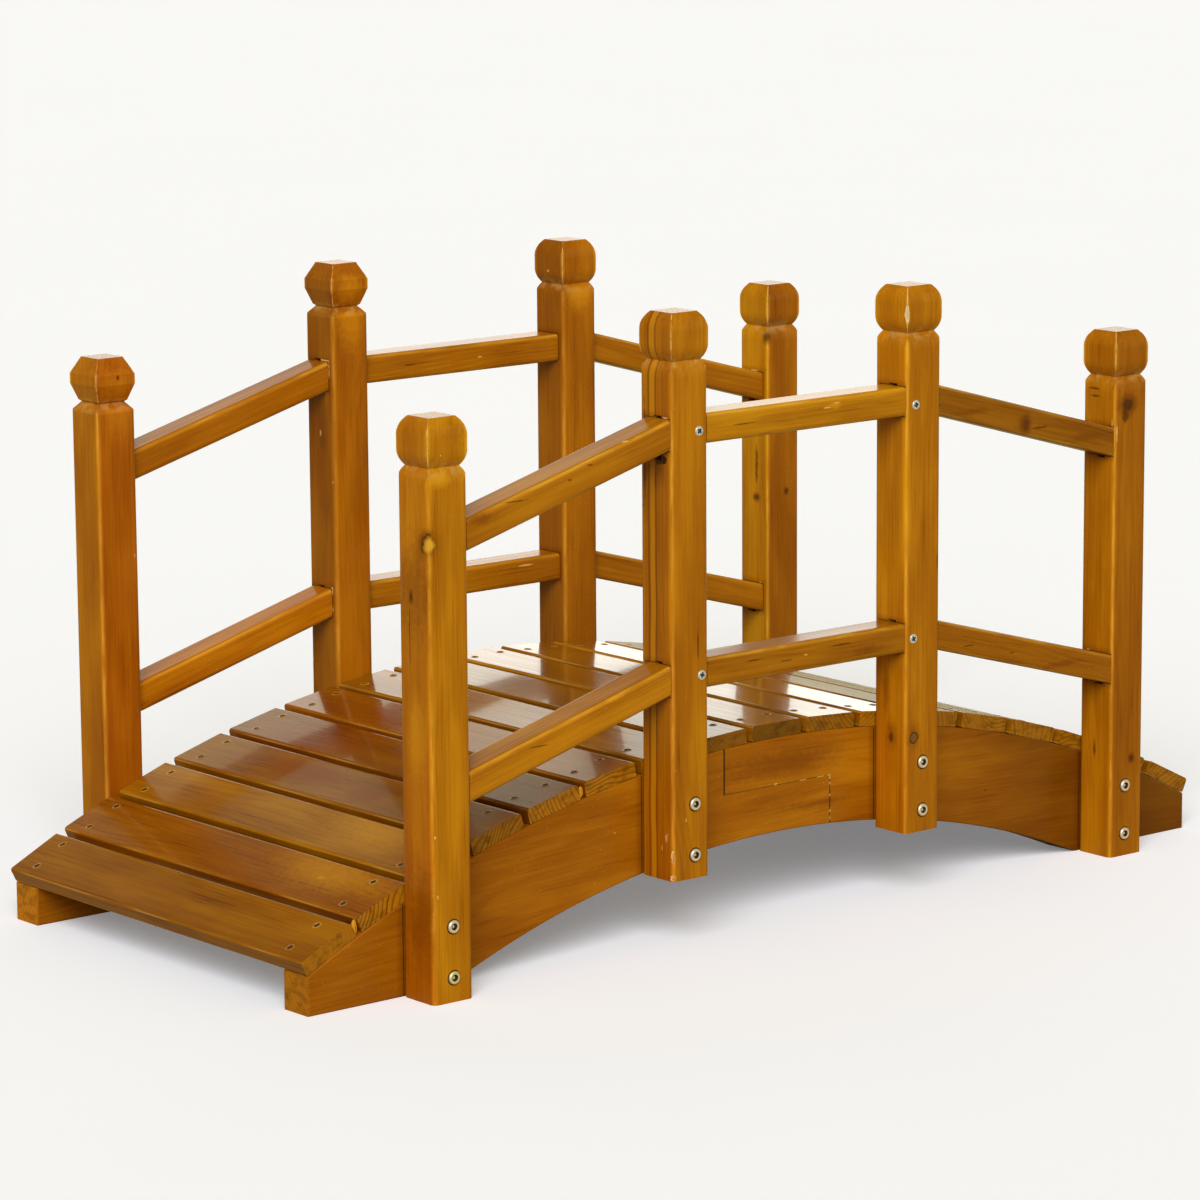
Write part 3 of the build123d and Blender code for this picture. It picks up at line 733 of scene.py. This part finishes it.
def beam_extra(t, p, colour, height):
    """Darker towards both ends, painted shade beside the posts, and the saw cuts and glue line of the stepped
    lap.
    """
    x, y, z = t.split(p)
    drift = t.mul(t.sub(t.field(p, (0.008, 0.01, 0.03), 2.0), 0.5), 90.0)
    along = t.add(x, drift)
    to_left = t.mul(t.remap(along, -40.0, -330.0), 0.55)
    colour = t.mixc(to_left, colour, (0.70, 0.60, 0.5, 1.0), "MULTIPLY")
    colour = t.mixc(t.remap(along, 60.0, 420.0), colour, (0.40, 0.36, 0.5, 1.0), "MULTIPLY")
    # painted shade on the outer face beside each post, and a dark line where it meets the post
    for station in (-END_X, -MID_X, MID_X, END_X):
        near = t.sub(t.abs(t.sub(x, station)), POST / 2)
        outside = t.remap(t.abs(y), BEAM_FACE - 1.5, BEAM_FACE - 0.5)
        shadow = t.mul(t.mul(t.remap(near, 9.0, 0.0), outside), 0.45)
        colour = t.mixc(shadow, colour, tint(DARK, (0.8, 0.7, 0.8)))
        line = t.mul(t.remap(t.abs(near), 1.0, 0.3), outside)
        colour = t.mixc(t.mul(line, 0.7), colour, (0.030, 0.010, 0.002, 1.0))
    in_step = t.remap(t.abs(x), LAP_HALF + 0.6, LAP_HALF + 0.2)
    level = t.mul(t.remap(t.abs(t.sub(z, LAP_Z)), 0.5, 0.1), in_step)
    upper = t.remap(z, LAP_Z - 0.4, LAP_Z + 0.4)
    left_cut = t.mul(t.remap(t.abs(t.add(x, LAP_HALF)), 1.2, 0.6), upper)
    lower = t.remap(z, LAP_Z + 0.4, LAP_Z - 0.4)
    right_cut = t.mul(t.remap(t.abs(t.sub(x, LAP_HALF)), 1.0, 0.4), lower)
    broken = t.remap(t.field(p, 0.25, 2.0), 0.36, 0.52)
    colour = t.mixc(t.mul(left_cut, 0.92), colour, (0.03, 0.012, 0.004, 1.0))
    colour = t.mixc(t.mul(right_cut, 0.85), colour, (0.04, 0.014, 0.002, 1.0))
    colour = t.mixc(t.mul(level, 0.80), colour, (0.05, 0.016, 0.002, 1.0))
    whole = t.sub(1.0, broken)
    pale = t.add(t.mul(t.mul(level, whole), t.remap(x, -45.0, 35.0)), t.mul(right_cut, whole))
    colour = t.mixc(t.mul(pale, 0.70), colour, (0.74, 0.46, 0.12, 1.0))
    cut = t.math("MAXIMUM", level, t.math("MAXIMUM", left_cut, right_cut))
    return colour, t.add(height, t.mul(cut, -1.2))


def dress_beams():
    for side, row in (("front", -BEAM_Y), ("back", BEAM_Y)):
        for end, tilt, x in (("left", 0.05, -270.0), ("right", -0.03, 270.0)):
            key = f"{side}_beam_{end}_half"
            rnd = random.Random("beam " + key)
            pith = (rnd.uniform(60, 90) * rnd.choice((-1, 1)), rnd.uniform(-30, 30))
            dress(key, wood(
                f"{key}_wood", (x, row, 80.0), (1, 0, tilt), ALONG_Y, seed_for(key), pith, gap=4.8,
                hue=(0.90, 0.83, 0.9), contrast=0.75, extra=beam_extra, marks=BEAM_MARKS, end_lines=0.2,
                end_shade=1.25 if key == "back_beam_left_half" else 1.05))


# Deck boards

# From the left: place of the pith, tone, tone of its green, and the lines and the tone of its end grain
BOARDS = [
    ((-70, -45), 0.67, 0.96, 0.12, 0.71),
    ((-85, -77), 0.68, 0.85, 0.85, 0.85),
    ((40, -70), 0.78, 1.03, 0.50, 0.85),
    ((45, 60), 0.62, 0.95, 0.65, 0.62),
    ((95, -14), 0.54, 0.82, 0.60, 0.90),
    ((15, -120), 0.72, 0.85, 0.70, 0.90),
    ((60, 52), 0.70, 1.00, 0.40, 0.85),
    ((14, -42), 0.62, 1.06, 0.15, 0.50),
    ((-62, -50), 0.82, 1.06, 0.10, 0.36),
    ((70, -44), 0.78, 1.08, 0.45, 0.62),
    ((24, 60), 0.84, 1.06, 0.45, 0.85),
    ((-50, 40), 0.76, 1.06, 0.50, 0.75),
    ((30, -36), 0.70, 1.06, 0.50, 0.70),
    ((-80, 20), 0.74, 1.06, 0.50, 0.70),
    ((10, 44), 0.72, 1.06, 0.50, 0.70),
    ((-30, -60), 0.68, 1.06, 0.50, 0.70),
    ((64, 30), 0.66, 1.06, 0.50, 0.70),
]
BOARD_MARKS = {
    2: [("pale", (-421.0, -128.0, 93.0), (42.0, 105.0, 20.0)),
        ("pale", (-417.5, -122.0, 84.0), (3.2, 7.0, 9.0))],
    3: [("pale", (-352.0, -120.0, 115.0), (46.0, 100.0, 20.0))],
    4: [("stain", (-280.0, 60.0, 132.0), (7.0, 120.0, 14.0)),
        ("flush", (-300.0, 60.0, 125.0), (20.0, 70.0, 20.0)),
        ("flush", (-310.0, -40.0, 125.0), (18.0, 26.0, 20.0))],
    5: [("flush", (-222.0, 95.0, 146.0), (10.0, 80.0, 14.0)),
        ("flush", (-250.0, 100.0, 139.0), (28.0, 90.0, 20.0)),
        ("flush", (-240.0, -70.0, 140.0), (18.0, 30.0, 20.0))],
    6: [("flush", (-188.0, 120.0, 152.0), (34.0, 120.0, 20.0))],
}


def board_place(k):
    """Middle of the upper face of board k, with the tangent and the normal there."""
    tilt = (k - MIDDLE_BOARD) * PITCH / ARC_R
    reach = ARC_R + SEAT + BOARD_T
    spot = Vector((reach * sin(tilt), 0.0, CROWN - ARC_R + reach * cos(tilt)))
    return spot, Vector((cos(tilt), 0.0, -sin(tilt))), Vector((sin(tilt), 0.0, cos(tilt)))


def board_sides(tangent, normal, centre):
    """The long side faces of a board turn a little redder, and a thin painted highlight runs along its upper
    edges.
    """

    def apply(t, p, colour, height):
        side = t.remap(t.normal_along(tangent), 0.80, 0.95)
        colour = t.mixc(side, colour, (1.0, 0.92, 0.9, 1.0), "MULTIPLY")
        offset = t.vec("SUBTRACT", p, tuple(centre))
        along, up = (t.abs(t.vec("DOT_PRODUCT", offset, tuple(axis))) for axis in (tangent, normal))
        # painted highlight along the upper edges of the board
        upper_edge_highlight = t.mul(t.remap(along, BOARD_W / 2 - 1.1, BOARD_W / 2 - 0.5),
                      t.remap(up, BOARD_T / 2 - 1.8, BOARD_T / 2 - 1.0))
        broken = t.remap(t.field(p, (0.06, 0.012, 0.06), 3.0), 0.42, 0.6)
        return t.mixc(t.mul(t.mul(upper_edge_highlight, broken), 0.45), colour, (0.66, 0.38, 0.09, 1.0)), height

    return apply


def dress_deck():
    for k, (pith, tone, green, end_lines, end_tone) in enumerate(BOARDS, 1):
        spot, tangent, normal = board_place(k)
        key = f"deck_board_{k:02d}"
        rnd = random.Random("board " + key)
        centre = spot - normal * (BOARD_T / 2)
        dress(key, wood(
            f"{key}_wood", tuple(centre), ALONG_Y, tuple(tangent), seed_for(key), pith,
            gap=rnd.uniform(3.6, 4.8), shade=tone, contrast=1.15, gloss="deck", hue=(1.0, green, 0.7),
            corners=(BOARD_W / 2, BOARD_T / 2, 2.6), rub_and_highlight=0.06, marks=BOARD_MARKS.get(k, ()),
            end_shade=end_tone, end_lines=end_lines, extra=board_sides(tangent, normal, centre)))


# Metal fasteners


def axes(axis, up):
    """A direction with two more across it."""
    axis, side = Vector(axis).normalized(), Vector(up).normalized()
    return axis, side, axis.cross(side)


def skin(rows, steps):
    """Faces between rings of vertices that follow each other."""
    faces = []
    for row in range(rows):
        for i in range(steps):
            j = (i + 1) % steps
            a, b = row * steps, (row + 1) * steps
            faces.append((a + i, a + j, b + j, b + i))
    return faces


def lathe(profile, steps, centre, axis, up, closed=True):
    """Turned shape: profile is (radius, height) pairs from the rim to the axis, where it may be closed."""
    axis, side, other = axes(axis, up)
    verts = []
    for radius, height in profile:
        for i in range(steps):
            a = 2 * pi * i / steps
            verts.append(centre + axis * height + (side * cos(a) + other * sin(a)) * radius)
    rows = len(profile) - 1
    faces = skin(rows, steps)
    if closed:
        faces.append(tuple(rows * steps + i for i in range(steps)))
    return verts, faces


def piece(name, parts, material, second=None):
    """One mesh from lists of vertices and faces in millimetres; a third list marks faces of the second finish."""
    verts, faces, marked = [], [], []
    for vs, fs, *rest in parts:
        base = len(verts)
        verts += [tuple(v * 0.001) for v in vs]
        faces += [tuple(base + i for i in f) for f in fs]
        marked += rest[0] if rest else [0] * len(fs)
    mesh = bpy.data.meshes.new(name)
    mesh.from_pydata(verts, [], faces)
    mesh.validate()
    mesh.update()
    mesh.shade_smooth()
    mesh.set_sharp_from_angle(angle=radians(38))
    mesh.materials.append(material)
    if second:
        mesh.materials.append(second)
        for polygon, k in zip(mesh.polygons, marked):
            polygon.material_index = k
    obj = bpy.data.objects.new(name, mesh)
    bpy.context.scene.collection.objects.link(obj)
    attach(obj, "root")


def metal(name, colour, second, rough, metallic=0.65):
    t = Tree(name)
    p = t.vec("SCALE", t.coords(), scale=1000.0)
    blotch = t.noise(p, 0.45, 3.0)
    fine = t.noise(p, 3.0, 2.0)
    c = t.mixc(t.remap(blotch, 0.35, 0.65), (*colour, 1.0), (*second, 1.0))
    c = t.mixc(t.remap(fine, 0.55, 0.8, 0.0, 0.5), c, tint(colour, (0.5, 0.45, 0.4)))
    return t.finish(c, t.remap(fine, 0.3, 0.7, rough, rough + 0.18), fine, ior=1.5, metallic=metallic, bump=0.2,
                    depth=0.0001)


def hex_socket(centre, axis, across, depth, rim_radius, rim_height, turn):
    """Flat ring from the round head in to a countersunk six-sided recess, with its walls and floor."""
    axis, side, other = axes(axis, UP)
    r = across / sqrt(3)
    steps = 24
    low = rim_height - depth
    rings = [(rim_height, rim_radius, False), (rim_height - 0.05, r * 1.12, False), (rim_height - 0.45, r, True),
             (low, r, True), (low, 0.5 * r, True), (low + 0.35, 0.2 * r, True)]
    verts = []
    for level, radius, six_sided in rings:
        for i in range(steps):
            a = 2 * pi * i / steps
            reach = radius * cos(pi / 6) / cos((a % (pi / 3)) - pi / 6) if six_sided else radius
            verts.append(centre + axis * level + (side * cos(a + turn) + other * sin(a + turn)) * reach)
    rows = len(rings) - 1
    faces = skin(rows, steps) + [tuple(rows * steps + i for i in range(steps))]
    return verts, faces, [0] * steps + [1] * (3 * steps) + [0] * (steps + 1)


BOLT_HEAD = [(5.3, 0.0), (5.4, 0.5), (5.35, 1.1), (5.1, 1.6), (4.7, 1.9), (4.3, 1.98), (4.0, 1.90)]
WASHER = [(8.0, 0.0), (8.0, 1.2), (7.7, 1.4), (5.0, 1.4)]
NUT_RINGS = ((1.4, 0.97), (1.8, 1.0), (5.6, 1.0), (6.2, 0.94))
NUT_R = 5.77
SCREW_RIM = [(3.9, 0.01), (3.6, 0.26), (3.2, 0.42), (2.8, 0.34), (2.6, 0.08)]


def bolt(centre, axis, turn):
    """Low round head with a hexagon socket; the recess floor stays above the timber."""
    rim_radius, rim_height = BOLT_HEAD[-1]
    return [lathe(BOLT_HEAD, 24, centre, axis, UP, closed=False),
            hex_socket(centre, axis, 4.5, 1.75, rim_radius, rim_height, turn)]


def nut(centre, axis, turn):
    """Washer, hexagon nut and the threaded end of a bolt on the inner face of a beam."""
    out, side, other = axes(axis, UP)
    verts = []
    for height, scale in NUT_RINGS:
        for i in range(6):
            a = i * pi / 3 + turn
            verts.append(centre + out * height + (side * cos(a) + other * sin(a)) * NUT_R * scale)
    thread = [(3.0, 6.0)]
    for i in range(5):
        thread += [(3.0, 6.3 + i * 0.8), (2.6, 6.7 + i * 0.8)]
    thread.append((2.4, 10.2))
    return [lathe(WASHER, 24, centre, axis, UP), (verts, skin(3, 6) + [tuple(range(18, 24))]),
            lathe(thread, 16, centre, axis, UP)]


def drip(centre, size, seed):
    """Dried run of varnish that bridges a gap: a sagging, uneven drop."""
    rnd = random.Random(seed)
    rows, steps = 9, 14
    wave = [rnd.uniform(0.8, 1.2) for _ in range(steps)]
    verts = []
    for r in range(rows + 1):
        v = r / rows
        width = sin(pi * min(max(v, 0.03), 0.97)) ** 0.6 * (0.45 + 0.55 * v * v + 0.35 * (1 - v) ** 3)
        for i in range(steps):
            a = 2 * pi * i / steps
            verts.append(centre + Vector((cos(a) * size[0] * width * wave[i], sin(a) * size[1] * width * wave[i],
                                          size[2] * (0.5 - v) + 0.3 * sin(3 * a + seed))))
    faces = [(a, d, c, b) for a, b, c, d in skin(rows, steps)]
    faces += [tuple(range(steps)), tuple(rows * steps + i for i in reversed(range(steps)))]
    return verts, faces


def ring_shadow(centre, axis, radius):
    """Dark, varnished ring of wood round a head: the crush of its seat, with painted shade."""
    profile = [(radius, 0.02), (radius - 0.3, 0.14), (radius - 1.3, 0.16), (radius - 1.6, 0.08)]
    return lathe(profile, 24, centre, axis, UP)


def cross_head(centre, axis, up, radius, height, turn):
    """Countersunk head with a cross recess cut as four arms."""
    axis, side, other = axes(axis, up)
    arm, half = radius * 0.60, radius * 0.16
    outline = []
    for k in range(4):
        a = k * pi / 2 + turn
        d = side * cos(a) + other * sin(a)
        e = side * cos(a + pi / 2) + other * sin(a + pi / 2)
        outline += [d * arm - e * half, d * arm + e * half, d * half * 1.5 + e * half * 1.5]
    n = len(outline)
    rings = [(radius, 0.0), (radius * 0.99, height * 0.5), (radius * 0.93, height * 0.9), (radius * 0.80, height)]
    verts = [centre + axis * h + o.normalized() * reach for reach, h in rings for o in outline]
    verts += [centre + axis * height + o for o in outline]
    verts += [centre + axis * (height * 0.12) + o * 0.8 for o in outline]
    rows = len(rings) + 1
    faces = skin(rows, n) + [tuple(rows * n + i for i in range(n))]
    return verts, faces, [0] * ((rows - 1) * n) + [1] * (n + 1)


BOLTS = {"left_end": (-END_X, (62.3, 20.3)), "left_mid": (-127.0, (123.9, 80.6)),
         "right_mid": (131.0, (121.9, 79.8)), "right_end": (379.0, (64.2, 20.3))}
RAIL_SCREWS = {"left_mid": ((-121.2, 435.2), (-119.0, 231.7)), "right_mid": ((121.3, 432.7), (119.6, 231.1))}
LABELS = ("upper", "lower")
# Places along the deck, half sizes and seeds of the dried runs of varnish
RUNS = ((1.5, (4.6, 3.2, 13.5), 5), (5.5, (3.4, 1.6, 9.0), 8), (7.5, (3.4, 1.4, 8.0), 11),
        (11.5, (3.3, 1.5, 8.0), 14))


def add_side_fasteners(rnd):
    """Bolts with seats and nuts through posts and beams, and screws into the middle rails."""
    zinc = metal("zinc_plate", (0.90, 0.86, 0.70), (0.88, 0.74, 0.64), 0.22)
    brass = metal("yellow_zinc_plate", (0.90, 0.80, 0.40), (0.80, 0.80, 0.52), 0.24)
    bright = metal("bright_zinc", (0.86, 0.88, 0.92), (0.74, 0.78, 0.88), 0.22)
    blue = metal("cross_shadow", (0.045, 0.085, 0.12), (0.02, 0.04, 0.07), 0.35, 0.5)
    socket = metal("socket_shadow", (0.10, 0.075, 0.045), (0.05, 0.035, 0.02), 0.30, 0.8)
    # dark wood for the rings round the bolt heads: crush of their seats and painted shade
    seat_crush_and_shade = wood("seat_wood_and_painted_shade", (0, 0, 0), UP, ALONG_X, 3.3, (40, 30), shade=0.16)
    for side, k in (("front", -1), ("back", 1)):
        axis = Vector((0, k, 0))
        seats, nuts = [], []
        for place, (x, levels) in BOLTS.items():
            for label, z in zip(LABELS, levels):
                if side == "back":
                    x += rnd.uniform(-1.5, 1.5)
                    z += rnd.uniform(-1.5, 1.5)
                centre = Vector((x, k * FACE, z))
                gold = (side, place, label) == ("front", "left_end", "lower")
                piece(f"{side}_{place}_bolt_{label}", bolt(centre, axis, rnd.uniform(0, pi / 3)),
                      brass if gold else zinc, socket)
                seats.append(ring_shadow(centre, axis, 6.5))
                nuts += nut(Vector((x, k * (BEAM_FACE - BEAM_THICK), z)), -axis, rnd.uniform(0, pi / 3))
        piece(f"{side}_bolt_seats", seats, seat_crush_and_shade)
        piece(f"{side}_bolt_nuts", nuts, zinc)
        for place, spots in RAIL_SCREWS.items():
            for label, (x, z) in zip(LABELS, spots):
                head = cross_head(Vector((x, k * FACE, z)), axis, UP, 4.2, 0.8, rnd.uniform(0, pi / 2))
                piece(f"{side}_{place}_rail_screw_{label}", [head], bright, blue)


def add_deck_screws(rnd):
    """Two screws with raised rims at each end of every board; their dark steel heads are painted darker still for
    the shade down in the screw holes.
    """
    # painted shade: near-black steel heads standing in for the dark screw holes
    hole_shade_steel = metal("screw_steel_and_hole_shade", (0.022, 0.012, 0.005), (0.07, 0.040, 0.015), 0.40, 0.3)
    for side, y in (("front", -179.5), ("back", 186.0)):
        heads, rims = [], []
        for k in range(1, BOARD_COUNT + 1):
            spot, tangent, normal = board_place(k)
            for half in (-15.8, 15.8):
                c = spot + tangent * (half + rnd.uniform(-0.9, 0.9)) + Vector((0, y + rnd.uniform(-2.2, 2.2), 0))
                heads.append(cross_head(c, normal, ALONG_Y, 2.7, 0.16, rnd.uniform(0, pi / 2)))
                rims.append(lathe(SCREW_RIM, 20, c, normal, ALONG_Y, closed=False))
        piece(f"deck_screws_{side}_row", heads, hole_shade_steel)
        rim = wood(f"screw_rims_{side}", (0, 0, 0), ALONG_Y, ALONG_X, 5.1, (40, 30), shade=0.98,
                   hue=(1.0, 1.2, 3.0), gloss="deck")
        piece(f"deck_screw_rims_{side}_row", rims, rim)


def add_varnish_runs():
    runs = []
    for at, size, seed in RUNS:
        spot, _, normal = board_place(at)
        runs.append(drip(spot - normal * 7.5 + Vector((0, -BOARD_HALF + 0.9 + size[1], 0)), size, seed))
    amber = wood("varnish_run", (0, 0, 0), UP, ALONG_X, 2.2, (40, 30), shade=1.15, hue=(1.15, 1.35, 2.5),
                 contrast=0.3, gloss="deck")
    piece("varnish_runs", runs, amber)


bpy.context.scene.view_settings.view_transform = "Standard"
make_camera()
make_world()
sun("key", -44, 36, 2.45, 36)
sun("fill", -30, 12, 0.70, 60)
make_floor()
dress_posts()
dress_rails()
dress_beams()
dress_deck()
fastener_rnd = random.Random(77)
add_side_fasteners(fastener_rnd)
add_deck_screws(fastener_rnd)
add_varnish_runs()
